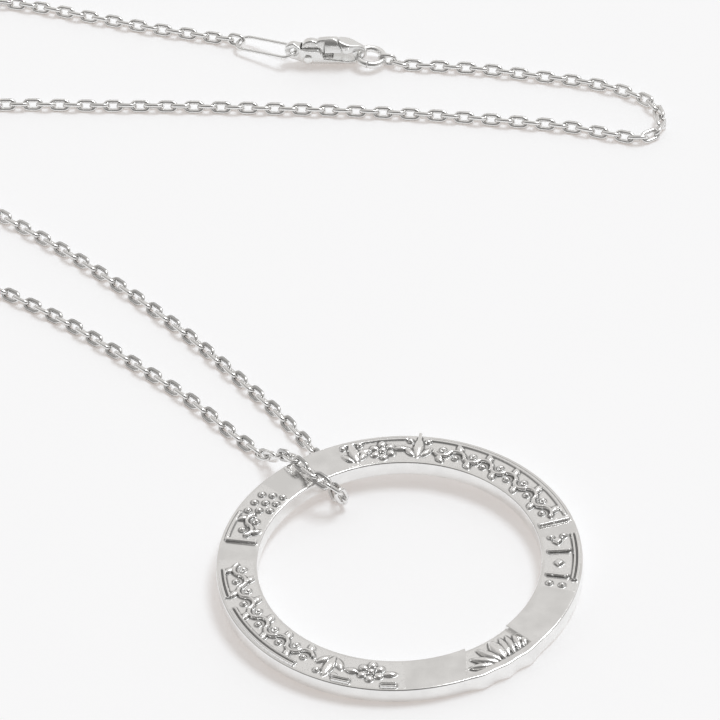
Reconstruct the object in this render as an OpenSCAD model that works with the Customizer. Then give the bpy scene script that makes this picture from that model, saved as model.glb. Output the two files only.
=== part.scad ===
/* [Pendant ring] */
// Outer diameter of the cast ring
ring_outer_d = 40; // [38:0.5:42]
// Diameter of the open middle
ring_inner_d = 31; // [30:0.5:32]
// Thickness of the ring without its relief
ring_h = 1.9; // [1.7:0.1:2.2]
// Chamfer that breaks the ring's edges
edge_break = 0.2; // [0.1:0.02:0.3]
// Height of the relief over the ring's face
relief_h = 0.38; // [0.3:0.02:0.45]
// Depth of the pocket that holds the lotus
lotus_depth = 0.46; // [0.3:0.02:0.6]
// Depth of the recessed fields on the back
back_depth = 0.3; // [0.2:0.02:0.4]
// Width of a raised stroke in the relief
stroke_w = 0.46; // [0.36:0.02:0.5]
// Radius of the raised beads
bead_r = 0.34; // [0.25:0.01:0.36]
// How far the three lobes at the lotus stand out of the wall
lobe_out = 0.36; // [0.3:0.02:0.5]

/* [Chain] */
// Diameter of the wire in the chain's links
chain_wire = 0.38; // [0.34:0.01:0.4]
// Diameter of the room that the chain takes up
chain_d = 1.32; // [1.25:0.01:1.34]

/* [Clasp] */
// Thickness of the clasp's claw, across the rivet
clasp_t = 2.4; // [2.2:0.1:2.5]
// Thickness of the lever
lever_t = 1.3; // [1.2:0.05:1.35]
// Side clearance of the lever between the ears
lever_gap = 0.1; // [0.08:0.01:0.15]
// Radius of the rivet's shank
rivet_r = 0.36; // [0.3:0.01:0.38]
// Running clearance of the lever on the rivet
rivet_gap = 0.06; // [0.04:0.01:0.08]

/* [Rings and links at the clasp] */
// Outer diameter of the jump ring
jump_d = 4.2; // [4.15:0.05:4.25]
// Diameter of the jump ring's wire
jump_wire = 0.8; // [0.7:0.05:0.8]
// Length of the elongated link over all
long_link_l = 8.8; // [8.7:0.05:8.9]
// Width of the elongated link over all
long_link_w = 2.82; // [2.7:0.02:2.9]
// Diameter of the elongated link's wire
long_link_wire = 0.42; // [0.38:0.01:0.44]
// Length of the two wider links that end the chain
end_link_l = 2.55; // [2.5:0.05:2.6]
// Width of the two wider links that end the chain
end_link_w = 1.8; // [1.75:0.05:1.85]

/* [Hidden] */
$fn = 48;
silver = [0.80, 0.80, 0.79];

// The ring lies on the surface at its front edge and on the chain that passes under it
ring_at = [25, -48];
tilt = 2.2;
tilt_towards = 115;
r_out = ring_outer_d / 2;
r_in = ring_inner_d / 2;
r_mid = (r_out + r_in) / 2;

// Angles round the ring, seen from above, between which it carries ornament
fields = [[13, 108], [137, 167], [175, 269], [289, 314], [340, 368]];

// Lotus: angle of its foot, radius of the rim that holds it, and the pocket's slanting sides
lotus_at = 303.5;
lotus_rim = 19.25;
pocket = [[289, lotus_rim], [291, 17.6], [294, r_in - 0.5], [314, r_in - 0.5], [314, lotus_rim]];
// Its petals: where each starts along the rim, its turn, its length and its width
petals = [
    [0, 2, 3.5, 1.45],
    [1.6, 16, 3.3, 0.8], [3.6, 20, 3.15, 0.74], [6.0, 24, 2.8, 0.68], [8.3, 32, 2.0, 0.6],
    [-1.2, -24, 3.55, 0.9], [-2.2, -46, 3.5, 0.9], [-4.0, -66, 3.1, 0.8]
];

// Vine in the long fields: radius of its middle, and the angle each of its bows spans to either side
vine_r = 17.5;
bow_half = 64;
// Double rail near the outer edge: its inner radius, the width of each line, and the angles it spans
rail_in = 18.98;
rail_w = 0.26;
rails = [[180, 193.5], [198.5, 231.5], [245, 251], [261, 266], [345, 367]];
// Single line near the outer edge
line_in = 19.15;
lines = [[16, 76.5], [84, 106], [152, 165]];

// Claw, in its own plane: x runs from the rivet to the hook and y is height
clasp_at = [18.8, 48.35];
clasp_turn = -6.7;
pivot = [0, 1.35];
// Three rounds and their radii, whose shared tangents are the claw's outline
tail = [-1.8, 2.0];
tail_r = 1.2;
belly = [2.8, 1.95];
belly_r = 1.95;
hook = [5.9, 1.55];
hook_r = 1.35;
eye_r = 0.52;
// Opening of the claw, between the rivet's cheeks and the hook, and where its floor starts at the left
hole_end = [6.2, 1.4];
hole_r = 0.64;
hole_left = 1.6;
cheek_r = 1.9;
cheek_top = 2.7;
// Lever: hub on the rivet, thumb lobe over it, and an arm as wide as the claw that reaches the hook
hub_r = 0.85;
lobe_at = [0.35, 2.45];
lobe_r = 1.2;
arm_from = 2.05;
arm_reach = 4.35;
arm_low = 2.1;
arm_t = 2.1;
run_gap = 0.12;
slot_half = lever_t / 2 + lever_gap;

// Jump ring, held by the hook at one side and by the chain's first link at the other
jump_r = (jump_d - jump_wire) / 2;
jump_hold = [6.1, 1.36];
jump_turn = -17;
jump_low = end_link_w / 2;
jump_tilt = asin((jump_hold[1] - jump_low) / (2 * jump_r));

// Elongated link, from its seat in the claw's eye down to the chain's last link
long_seat = [tail[0], -0.45, tail[1] - 0.1];
long_turn = -34;
long_rise = 7;
long_lean = -6;

// The wider links at the chain's two ends
ring_link_at = [28.45, 46.55];
ring_link_turn = -16;
ring_link_lean = 90;
last_link_at = [9.84, 53.06];
last_link_turn = -30;
last_link_lean = 75;

// Centre of the chain where it lies on the surface
low = chain_d / 2 * cos(22.5);

// The chain's way: from the jump ring round to the pendant, over it and back to the clasp
route = [
    [30.0, 45.95, low], [34.0, 44.9, low], [39.6, 43.6, low], [47.3, 41.0, low], [53.4, 38.8, low],
    [57.5, 36.5, low], [60.2, 33.8, low], [61.0, 30.6, low], [60.3, 28.0, low], [58.3, 27.0, low],
    [55.4, 28.0, low], [49.4, 30.5, low], [43.0, 32.3, low], [33.5, 34.7, low], [24.0, 36.7, low],
    [14.4, 38.4, low], [4.0, 40.1, low], [-7.4, 41.7, low], [-19.8, 43.4, low],
    [-27.0, 43.6, low], [-31.5, 40.6, low], [-32.0, 35.4, low], [-28.5, 30.2, low],
    [-19.5, 21.1, low], [-11.0, 12.4, low], [-3.4, 3.5, low], [2.8, -4.6, low],
    [8.4, -13.0, low], [13.8, -21.7, low], [16.2, -26.4, low], [17.5, -30.0, low],
    [18.3, -33.0, low], [18.9, -35.1, 0.75], [19.4, -36.3, 1.7], [19.0, -36.6, 2.9],
    [17.7, -36.2, 3.9], [16.1, -34.7, 4.25], [14.3, -32.1, 4.35], [13.1, -30.4, 3.7],
    [12.0, -28.8, 2.1], [10.5, -26.7, 0.8], [7.9, -23.3, low], [3.0, -16.5, low],
    [-4.4, -8.0, low], [-12.5, 0.6, low], [-19.4, 6.6, low],
    [-31.0, 16.5, low], [-44.0, 25.0, low], [-55.5, 34.5, low], [-60.9, 46.0, low],
    [-57.5, 58.0, low], [-47.0, 65.5, low], [-33.5, 67.4, low], [-20.0, 65.4, low],
    [-7.3, 60.2, low], [-0.5, 57.2, low], [5.2, 55.0, low], [8.55, 53.75, low]
];
// Number of the point at which the chain's two nodes meet
meet_at = 36;
// A stretch longer than this gets a section half way
long_step = 10;

// Centre line of the chain: a curve through the route's points
function unit(v) = v / norm(v);
function step_len(i) = norm(route[i + 1] - route[i]);
function slope(i) =
    i == 0 ? unit(route[1] - route[0]) :
    i == len(route) - 1 ? unit(route[i] - route[i - 1]) :
    let (a = step_len(i - 1), b = step_len(i))
    unit((route[i] - route[i - 1]) / a * b + (route[i + 1] - route[i]) / b * a);
function between(i, t) =
    let (l = step_len(i), u = 1 - t)
    route[i] * u * u * (1 + 2 * t) + route[i + 1] * t * t * (3 - 2 * t)
    + slope(i) * l * t * u * u - slope(i + 1) * l * t * t * u;
function way(from, to) = concat(
    [for (i = [from : to - 1]) for (k = [0 : step_len(i) > long_step ? 1 : 0])
        between(i, k / (step_len(i) > long_step ? 2 : 1))],
    [route[to]]);
function headings(p, first, last) = [for (i = [0 : len(p) - 1])
    i == 0 ? first : i == len(p) - 1 ? last : unit(p[i + 1] - p[i - 1])];
function backwards(list) = [for (i = [len(list) - 1 : -1 : 0]) list[i]];
// Side of each section, carried along the chain without twist
function turned(side, t) = unit(side - t * (side * t));
function sides(t) = [for (i = 0, s = unit(cross([0, 0, 1], t[0])); i < len(t);
    i = i + 1, s = i < len(t) ? turned(s, t[i]) : s) s];

// Eight-sided tube through the points p with the headings t
module tube(p, t, sections = 8) {
    s = sides(t);
    n = len(p);
    points = [for (i = [0 : n - 1]) for (k = [0 : sections - 1])
        let (a = 360 * (k + 0.5) / sections)
        p[i] + (s[i] * cos(a) + cross(t[i], s[i]) * sin(a)) * chain_d / 2];
    walls = [for (i = [0 : n - 2]) for (k = [0 : sections - 1])
        let (a = i * sections + k, b = i * sections + (k + 1) % sections)
        for (face = [[a, b + sections, b], [a, a + sections, b + sections]]) face];
    ends = [[for (k = [0 : sections - 1]) k],
            [for (k = [sections - 1 : -1 : 0]) (n - 1) * sections + k]];
    polyhedron(points, concat(walls, ends));
}

// Oval wire link, lying flat with its length along x
module oval_link(l, w, wire) {
    r = (w - wire) / 2;
    half = (l - w) / 2;
    for (s = [-1, 1]) {
        translate([s * half, 0, 0]) rotate([0, 0, s * 90 - 180])
            rotate_extrude(angle = 180) translate([r, 0]) circle(d = wire);
        translate([-half, s * r, 0]) rotate([0, 90, 0]) cylinder(d = wire, h = 2 * half);
    }
}

// Places its children at an angle round the ring and a distance from its middle
module at(a, r) { rotate(a) translate([r, 0]) children(); }

// Flat wedge of the plane between two angles, for cutting a band
module wedge(a0, a1) {
    far = r_out * 2;
    mids = [for (k = [0 : 4]) a0 + (a1 - a0) * k / 4];
    polygon(concat([[0, 0]], [for (a = mids) [far * cos(a), far * sin(a)]]));
}

module band(a0, a1, ri, ro) {
    intersection() {
        difference() { circle(r = ro, $fn = 180); circle(r = ri, $fn = 180); }
        wedge(a0, a1);
    }
}

// Pointed leaf along x, from two arcs
module leaf(l, w) {
    r = (l * l + w * w) / (4 * w);
    intersection_for (s = [-1, 1]) translate([0, s * (r - w / 2)]) circle(r = r, $fn = 96);
}

// Bow of the vine, bulging along x
module bow(r) {
    far = 3 * r;
    intersection() {
        difference() { circle(r = r + stroke_w / 2); circle(r = r - stroke_w / 2); }
        polygon([[0, 0], [far * cos(bow_half), far * sin(bow_half)], [far, 0],
                 [far * cos(bow_half), -far * sin(bow_half)]]);
    }
}

// Winding vine between two angles, with a berry in each bow and a leaf on its back
module vine(a0, a1, n) {
    step = (a1 - a0) / n;
    r = vine_r * step * PI / 360 / sin(bow_half) * 1.03;
    rise = r * (1 - cos(bow_half));
    for (k = [0 : n - 1]) let (side = k % 2 == 0 ? 1 : -1, mid = a0 + (k + 0.5) * step) {
        at(mid, vine_r - side * r * cos(bow_half)) rotate(side > 0 ? 0 : 180) bow(r);
        at(mid, vine_r - side * 0.5) circle(r = bead_r);
        at(mid, vine_r + side * (rise + 0.5)) rotate(38) leaf(1.4, 0.72);
    }
}

// Round flower with a leaf at each side
module rosette(a) at(a, 17.5) {
    circle(r = 0.42);
    for (k = [0 : 5]) rotate(60 * k) translate([1.02, 0]) circle(r = 0.42);
    for (s = [-1, 1]) translate([0.1, s * 2.05]) rotate(s * 100) leaf(1.7, 0.75);
}

// Bud between two pairs of leaves
module bud(a) at(a, 0) {
    translate([17.9, 0]) leaf(3.4, 1.15);
    for (s = [-1, 1]) {
        translate([17.2, s * 0.95]) rotate(s * 38) leaf(1.9, 0.7);
        translate([18.9, s * 1.0]) circle(r = bead_r);
    }
}

// Lotus that opens towards the ring's middle
module lotus() for (p = petals)
    at(lotus_at + p[0], lotus_rim) rotate(180 - p[1]) translate([p[2] / 2, 0]) leaf(p[2], p[3]);

// Plain bar across the band
module bar(a) at(a, r_mid - 0.05) square([3.5, 0.42], center = true);

module front_relief() {
    bar(14);
    vine(17, 74, 10);
    at(80, 19.1) square([2, 0.42], center = true);
    bud(80);
    rosette(93);
    bud(103.5);
    for (a = [140, 144.5, 149]) for (r = [16.4, 17.5, 18.6])
        at(a + (r - 17.5) * 1.5, r) circle(r = bead_r);
    vine(152, 163, 2);
    bar(166);
    vine(178, 235, 10);
    bud(242);
    rosette(257);
    for (a = [346.5, 359]) at(a, 17.4) square([2.5, 0.42], center = true);
    for (a = [352.8, 364]) at(a, 17.4) rotate(45) square(0.95, center = true);
    for (a = [342, 366.5]) for (r = [16.8, 18.2]) at(a, r) circle(r = bead_r);
    for (f = rails) for (r = [rail_in, rail_in + 2 * rail_w - 0.06]) band(f[0], f[1], r, r + rail_w);
    for (f = lines) band(f[0], f[1], line_in, line_in + 0.34);
}

module back_relief() {
    for (f = fields) let (n = round((f[1] - f[0]) / 7))
        for (k = [0 : n - 1]) at(f[0] + (f[1] - f[0]) * (k + 0.5) / n, r_mid) circle(r = 0.7);
}

module ring_blank() {
    e = edge_break;
    rotate_extrude($fn = 180) polygon([
        [r_in, e], [r_in + e, 0], [r_out - e, 0], [r_out, e],
        [r_out, ring_h - e], [r_out - e, ring_h], [r_in + e, ring_h], [r_in, ring_h - e]]);
}

// Three low lobes that swell the outer wall under the lotus
module lobes() {
    lobe_r = 3;
    intersection() {
        for (s = [-1, 0, 1]) rotate([0, 0, 302 + s * 8.5])
            translate([r_out + lobe_out - lobe_r, 0, 0.2]) cylinder(r = lobe_r, h = ring_h - 0.75);
        difference() {
            cylinder(r = r_out + 1, h = ring_h, $fn = 180);
            translate([0, 0, -1]) cylinder(r = r_mid, h = ring_h + 2, $fn = 180);
        }
    }
}

module pendant_ring() color(silver)
    translate([ring_at[0], ring_at[1], r_out * tan(tilt)])
    rotate([0, 0, tilt_towards - 90]) rotate([tilt, 0, 0]) rotate([0, 0, 90 - tilt_towards]) {
        difference() {
            ring_blank();
            translate([0, 0, ring_h - lotus_depth]) linear_extrude(height = 1)
                polygon([for (p = pocket) p[1] * [cos(p[0]), sin(p[0])]]);
            translate([0, 0, back_depth - 1]) linear_extrude(height = 1)
                for (f = fields) band(f[0], f[1], r_in - 1, r_out + 1);
        }
        translate([0, 0, ring_h - 0.2]) linear_extrude(height = relief_h + 0.2) front_relief();
        translate([0, 0, ring_h - lotus_depth - 0.1]) linear_extrude(height = lotus_depth + 0.16)
            intersection() {
                lotus();
                circle(r = lotus_rim + 0.1, $fn = 180);
            }
        translate([0, 0, 0.06]) linear_extrude(height = back_depth) back_relief();
        lobes();
    }

module chain_inner() color(silver) {
    p = way(0, meet_at);
    tube(p, headings(p, slope(0), slope(meet_at)));
}

// The rest of the chain, drawn from its end at the clasp back to the pendant
module chain_outer() color(silver) {
    last = len(route) - 1;
    p = way(meet_at, last);
    t = headings(p, slope(meet_at), slope(last));
    tube(backwards(p), -backwards(t));
}

// Points where the outer tangent touches two rounds, on the left side as one looks from a to b
function tangent(a, ra, b, rb) =
    let (d = b - a, turn = atan2(d[1], d[0]) + acos((ra - rb) / norm(d)), side = [cos(turn), sin(turn)])
    [a + ra * side, b + rb * side];

// Claw seen from the side, without its openings
module claw_outline() {
    translate(tail) circle(r = tail_r);
    translate(belly) circle(r = belly_r);
    translate(hook) circle(r = hook_r);
    polygon(concat(tangent(tail, tail_r, belly, belly_r), tangent(belly, belly_r, hook, hook_r),
                   tangent(hook, hook_r, belly, belly_r), tangent(belly, belly_r, tail, tail_r)));
}

// Claw seen from above: narrow at the eye, full at the cheeks, narrow again at the hook's end
module claw_plan() {
    h = clasp_t / 2;
    side = [[-3, 0.36], [-2.4, 0.42], [-1.8, 0.5], [-1.3, 0.68], [-0.9, 0.9], [-0.4, h - 0.1],
            [0.2, h - 0.02], [1, h], [4.4, h], [5, h - 0.08], [5.5, h - 0.25], [6.1, h - 0.6],
            [6.5, 0.42], [8, 0.36]];
    polygon(concat(side, [for (i = [len(side) - 1 : -1 : 0]) [side[i][0], -side[i][1]]]));
}

// Claw seen from the end: round above and below, and a little larger than the claw, whose top stays flat
module claw_section() {
    r = clasp_t / 2 + 0.02;
    over = 0.07;
    for (z = [r - over, 2 * belly_r + over - r]) translate([0, z]) circle(r = r);
    translate([-r, r - over]) square([2 * r, 2 * (belly_r + over - r)]);
}

// Stands a side view up in the claw's own plane
module stand(t) { translate([0, t / 2, 0]) rotate([90, 0, 0]) linear_extrude(height = t) children(); }

module claw_solid(t) {
    intersection() {
        stand(t) children();
        linear_extrude(height = 5) claw_plan();
        translate([-4, 0, 0]) rotate([90, 0, 90]) linear_extrude(height = 12) claw_section();
    }
}

module clasp_place() translate(clasp_at) rotate([0, 0, clasp_turn]) children();

module clasp_body() color(silver) clasp_place() {
    difference() {
        claw_solid(clasp_t) difference() {
            claw_outline();
            translate(tail) circle(r = eye_r);
            translate(hole_end) circle(r = hole_r);
            difference() {
                polygon([[1, hole_left], hole_end - [0, hole_r],
                         hole_end + [0, hole_r], [1, hole_end[1] + hole_r]]);
                translate(pivot) circle(r = cheek_r);
            }
            intersection() {
                translate(pivot) circle(r = arm_reach + run_gap, $fn = 96);
                polygon([[lobe_at[0] - lobe_r - run_gap, cheek_top], [6, cheek_top], [6, 5],
                         [tail[0], 5], tail + [0, tail_r]]);
            }
            intersection() {
                difference() {
                    translate(pivot) circle(r = arm_reach + run_gap, $fn = 96);
                    translate(pivot) circle(r = cheek_r);
                }
                translate([1, hole_end[1]]) square([5, 3]);
            }
        }
        stand(2 * slot_half) {
            translate(pivot) circle(r = hub_r + run_gap);
            translate([lobe_at[0] - lobe_r - run_gap, pivot[1]]) square([4, 4]);
            translate([0, hole_end[1] - hole_r]) square([3, 3]);
        }
    }
    translate([pivot[0], clasp_t / 2 + 0.1, pivot[1]]) rotate([90, 0, 0])
        cylinder(r = rivet_r, h = clasp_t + 0.2);
    for (s = [-1, 1]) translate([pivot[0], s * clasp_t / 2, pivot[1]]) rotate([90, 0, 0])
        cylinder(r = 0.58, h = 0.24, center = true);
}

module clasp_lever() color(silver) clasp_place() difference() {
    union() {
        stand(lever_t) {
            translate(pivot) circle(r = hub_r);
            translate(lobe_at) circle(r = lobe_r);
            intersection() {
                claw_outline();
                polygon([pivot, [arm_from + 0.3, arm_low], [arm_from + 0.3, 5], lobe_at]);
            }
        }
        claw_solid(arm_t) intersection() {
            claw_outline();
            translate(pivot) circle(r = arm_reach, $fn = 96);
            translate([arm_from, arm_low]) square([4, 3]);
        }
    }
    translate([pivot[0], lever_t, pivot[1]]) rotate([90, 0, 0])
        cylinder(r = rivet_r + rivet_gap, h = 2 * lever_t);
}

module jump_ring() color(silver) clasp_place()
    translate([jump_hold[0], 0, jump_hold[1]]) rotate([0, 0, jump_turn - clasp_turn])
    rotate([0, jump_tilt, 0]) translate([jump_r, 0, 0])
        rotate_extrude() translate([jump_r, 0]) circle(d = jump_wire);

// One of the wider links, leaning on its edge
module end_oval(place, turn, lean) {
    height = chain_wire / 2 + (end_link_w - chain_wire) / 2 * sin(lean) + 0.01;
    translate([place[0], place[1], height]) rotate([0, 0, turn]) rotate([lean, 0, 0])
        oval_link(end_link_l, end_link_w, chain_wire);
}

module ring_link() color(silver) end_oval(ring_link_at, ring_link_turn, ring_link_lean);
module end_link() color(silver) end_oval(last_link_at, last_link_turn, last_link_lean);

module long_link() color(silver) clasp_place() translate(long_seat)
    rotate([0, 0, long_turn - clasp_turn]) rotate([0, -long_rise, 0]) rotate([-long_lean, 0, 0])
    translate([(long_link_wire - long_link_l) / 2, 0, 0]) oval_link(long_link_l, long_link_w, long_link_wire);

pendant_ring();
chain_inner();
chain_outer();
ring_link();
jump_ring();
clasp_body();
clasp_lever();
long_link();
end_link();
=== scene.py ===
"""Looks of a lying necklace: a cast ring pendant, a fine cable chain and a sprung clasp."""
import math

import bmesh
import bpy
import numpy as np
from bpy.props import FloatProperty, FloatVectorProperty, PointerProperty
from mathutils import Matrix, Vector


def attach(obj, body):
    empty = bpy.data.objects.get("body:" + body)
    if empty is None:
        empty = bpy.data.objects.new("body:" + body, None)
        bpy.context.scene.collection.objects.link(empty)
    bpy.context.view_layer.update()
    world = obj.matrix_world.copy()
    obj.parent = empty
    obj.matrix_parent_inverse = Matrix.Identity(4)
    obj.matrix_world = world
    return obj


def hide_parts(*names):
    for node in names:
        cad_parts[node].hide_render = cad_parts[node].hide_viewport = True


bl_info = {
    "name": "Ring Pendant Necklace",
    "version": (1, 0, 0),
    "blender": (4, 5, 0),
    "location": "View3D > Sidebar > Necklace",
    "description": "Cast ring pendant on a cable chain with a lobster clasp",
    "category": "Object",
}

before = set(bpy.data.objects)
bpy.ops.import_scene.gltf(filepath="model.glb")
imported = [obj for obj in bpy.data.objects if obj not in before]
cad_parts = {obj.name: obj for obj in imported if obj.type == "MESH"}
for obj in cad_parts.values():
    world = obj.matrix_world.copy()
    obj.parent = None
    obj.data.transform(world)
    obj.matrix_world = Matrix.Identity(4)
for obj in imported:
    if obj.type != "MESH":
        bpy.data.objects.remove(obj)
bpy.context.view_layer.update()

# All mesh work is in millimetres, and finished pieces are scaled to metres
MM = 0.001
NECKLACE = "necklace"
LEVER = "lever"

# Place of the ring: middle, degrees that it leans, and the direction in which it rises
RING_AT = (25.0, -48.0)
RING_TILT = 2.2
RING_RISE = 115
RING_H = 1.9
BACK_DEPTH = 0.3
# Radii of the grid on the ring's face, and the degrees between which the ring's grid is fine
FACE_GRID = (18.5, 17.7, 16.9, 16.2)
FINE_GRID = (286, 316)
# Degrees round the ring between which it carries ornament
FIELDS = {
    "right_vine": (13, 108),
    "upper_left": (137, 167),
    "left_vine": (175, 269),
    "lotus": (289, 314),
    "right_beads": (340, 368),
}
# Lotus: angle of its foot, radius of the rim that holds it, and how far its field is sunk
LOTUS_AT = 303.5
LOTUS_RIM = 19.25
LOTUS_DEPTH = 0.46
# Its petals: start along the rim, turn, length, width and height over the sunk floor
PETALS = (
    (0, 2, 3.5, 1.5, 0.6),
    (1.6, 16, 3.3, 0.86, 0.5), (3.6, 20, 3.15, 0.8, 0.52), (6.0, 24, 2.8, 0.74, 0.5),
    (8.3, 32, 2.0, 0.66, 0.46),
    (-1.2, -24, 3.55, 0.98, 0.52), (-2.2, -46, 3.5, 0.98, 0.54), (-4.0, -66, 3.1, 0.9, 0.56),
)
# Slanting side of its field: degrees that it leans, and where the ring's grid starts and ends to follow it
SLANT = 5.4
SLANT_START = (286, 288.5)
SLANT_END = (290, 304)
# Three soft lobes of the outer wall under the lotus: their middles, spread and reach
LOBES = (293.5, 302, 310.5)
LOBE_SPREAD = 3.4
LOBE_OUT = 0.36
# Share of that reach at heights up the wall, and at the face's edge
LOBE_SHARES = ((0.72, 1.0), (1.0, 0.96), (1.25, 0.86), (1.5, 0.68))
LOBE_EDGE = 0.4
# Vine: radius of its middle and the angle that each bow spans to either side
VINE_R = 17.5
BOW_HALF = 64
# Double rail and single line near the outer edge
RAIL_IN = 18.98
RAIL_W = 0.26
LINE_IN = 19.15
LINE_W = 0.34
# Radii of the cross bars, of the short bar near the edge and of the beads in rows of three and two
BAR_R = 17.7
EDGE_BAR_R = 19.1
THREE_BEADS = (16.4, 17.5, 18.6)
TWO_BEADS = (16.8, 18.2)
# How deep the relief's feet reach into the ring's face
ROOT = 0.1
# Studs on the back of a field: degrees from one to the next, their radius and their foot's
STUD_STEP = 7
STUD_R = 0.7
STUD_FOOT_R = 0.62

# Middle of the chain where it lies on the surface
LOW = 0.62
# The chain's way from the jump ring round to the pendant, over it and back to the clasp
ROUTE = [
    (30.0, 45.95, LOW), (34.0, 44.9, LOW), (39.6, 43.6, LOW), (47.3, 41.0, LOW), (53.4, 38.8, LOW),
    (57.5, 36.5, LOW), (60.2, 33.8, LOW), (61.0, 30.6, LOW), (60.3, 28.0, LOW), (58.3, 27.0, LOW),
    (55.4, 28.0, LOW), (49.4, 30.5, LOW), (43.0, 32.3, LOW), (33.5, 34.7, LOW), (24.0, 36.7, LOW),
    (14.4, 38.4, LOW), (4.0, 40.1, LOW), (-7.4, 41.7, LOW), (-19.8, 43.4, LOW),
    (-27.0, 43.6, LOW), (-31.5, 40.6, LOW), (-32.0, 35.4, LOW), (-28.5, 30.2, LOW),
    (-19.5, 21.1, LOW), (-11.0, 12.4, LOW), (-3.4, 3.5, LOW), (2.8, -4.6, LOW),
    (8.4, -13.0, LOW), (13.8, -21.7, LOW), (16.2, -26.4, LOW), (17.5, -30.0, LOW),
    (18.3, -33.0, LOW), (18.9, -35.1, 0.75), (19.4, -36.3, 1.7), (19.0, -36.6, 2.9),
    (17.7, -36.2, 3.9), (16.1, -34.7, 4.25), (14.3, -32.1, 4.35), (13.1, -30.4, 3.7),
    (12.0, -28.8, 2.1), (10.5, -26.7, 0.8), (7.9, -23.3, LOW), (3.0, -16.5, LOW),
    (-4.4, -8.0, LOW), (-12.5, 0.6, LOW), (-19.4, 6.6, LOW),
    (-31.0, 16.5, LOW), (-44.0, 25.0, LOW), (-55.5, 34.5, LOW), (-60.9, 46.0, LOW),
    (-57.5, 58.0, LOW), (-47.0, 65.5, LOW), (-33.5, 67.4, LOW), (-20.0, 65.4, LOW),
    (-7.3, 60.2, LOW), (-0.5, 57.2, LOW), (5.2, 55.0, LOW), (8.55, 53.75, LOW),
]
# The wider links at the chain's ends: middle, turn, lean, and which of their ends the chain holds
RING_LINK = {"at": (28.45, 46.55), "turn": -16, "lean": 90, "end": 1}
END_LINK = {"at": (9.84, 53.06), "turn": -30, "lean": 75, "end": -1}
# Links lean to either side in turn, by so many degrees with a small waver, and the first one by less
LINK_LEAN = 45
LEAN_WAVER = 4
FIRST_LEAN = 28
# A link so far over LOW is lifted off the surface, but so many links at either end lie on it
LIFTED = 0.15
LEVEL_ENDS = 8
# Along the chain's Y, where the links' painted shade starts and where it is full
PAINTED_SHADE_Y = (40, 0)

# Clasp: place, turn and the seats of what it holds
CLASP_AT = (18.8, 48.35)
CLASP_TURN = -6.7
JUMP_HOLD = (6.1, 1.36)
JUMP_TURN = -17
LONG_SEAT = (-1.8, -0.45, 1.9)
LONG_TURN = -34
LONG_RISE = 7
LONG_LEAN = -6
# Heights of the clasp's oval section: where it is widest, its top, and its depth below the widest part
CLASP_WIDEST = 1.7
CLASP_TOP = 4.1
CLASP_FOOT = 2.2

# Rivet's heads: where they sit on the clasp's sides, their radius and how far they dome
RIVET_AT = (0, 1.2, 1.35)
RIVET_R = 0.58
RIVET_DOME = 0.14

# Camera: what it looks at on the ground, how high and how far it stands, its roll and its lens
LOOK_AT = (22.34, -10.36, 0.0)
CAMERA_ELEVATION = 39.54
CAMERA_DISTANCE = 559.17
CAMERA_ROLL = -4.18
CAMERA_LENS = 242.6

# Floor, in metres: how far it reaches to each side, and how far it stays under the necklace
FLOOR_REACH = 2.5
FLOOR_GAP = 0.00002
# Sun: the direction in which it stands, how many degrees it spans, and its colour
SUN_AT = (0.36, 0.24, 0.9)
SUN_SPAN = 24
SUN_COLOUR = (0.965, 0.985, 1.0)
# Sky: its colour where it is dark and where it is clear
SKY_DARK = (0.02, 0.018, 0.017)
SKY_CLEAR = (1.0, 0.98, 0.96)
# Its darker zones: direction, cosines at the zone's edge and at its core, and how dark the core is
DARK_ZONES = (
    ((-0.1, -0.85, 0.5), 0.45, 0.88, 0.75),
    ((-1, -0.1, 0.2), 0.5, 0.9, 0.4),
    ((1, -0.2, 0.15), 0.6, 0.95, 0.35),
    ((0.12, 0.8, 0.62), 0.88, 0.998, 0.06),
)


def mm(length):
    """A length in metres as millimetres."""
    return length / MM


def size(name, description, default):
    """Setting of a length, whose default is in millimetres."""
    return FloatProperty(name=name, description=description, default=default * MM, unit="LENGTH")


def tone(name, description, default):
    """Setting of a colour."""
    return FloatVectorProperty(name=name, description=description, default=default, subtype="COLOR")


class RingSettings(bpy.types.PropertyGroup):
    """Sizes and tone of the pendant ring."""

    outer_d: size("Outer diameter", "Across the whole ring", 40)
    inner_d: size("Inner diameter", "Across the open middle", 31)
    relief_h: size("Relief height", "Relief over the ring's face", 0.38)
    edge_round: size("Edge round", "Radius of the ring's edges", 0.19)
    stroke_w: size("Stroke width", "Width of a raised stroke", 0.46)
    bead_r: size("Bead radius", "Radius of a raised bead", 0.34)
    cast_detail: size("Casting detail", "Finest form of the casting", 0.065)
    metal: tone("Metal", "Tone of the ring's metal", (0.945, 0.94, 0.93))


class ChainSettings(bpy.types.PropertyGroup):
    """Sizes and tone of the chain and its wider end links."""

    wire: size("Wire", "Diameter of the links' wire", 0.5)
    link_l: size("Link length", "Length of a link over all", 2.71)
    link_w: size("Link width", "Width of a link over all", 1.6)
    pitch: size("Pitch", "From one link to the next", 1.68)
    end_l: size("End link length", "Length of the end links", 2.55)
    end_w: size("End link width", "Width of the end links", 1.8)
    metal: tone("Metal", "Tone of the chain's metal", (0.91, 0.905, 0.895))


class ClaspSettings(bpy.types.PropertyGroup):
    """Sizes and tone of the clasp, its jump ring and the elongated link."""

    cast_detail: size("Casting detail", "Finest form of the clasp", 0.055)
    jump_d: size("Jump ring", "Jump ring's outer diameter", 4.2)
    jump_wire: size("Jump ring wire", "Diameter of its wire", 0.9)
    long_l: size("Long link length", "Elongated link over all", 8.8)
    long_w: size("Long link width", "Elongated link's width", 2.82)
    long_wire: size("Long link wire", "Diameter of its wire", 0.42)
    metal: tone("Metal", "Tone of the clasp's metal", (0.91, 0.91, 0.9))


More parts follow.
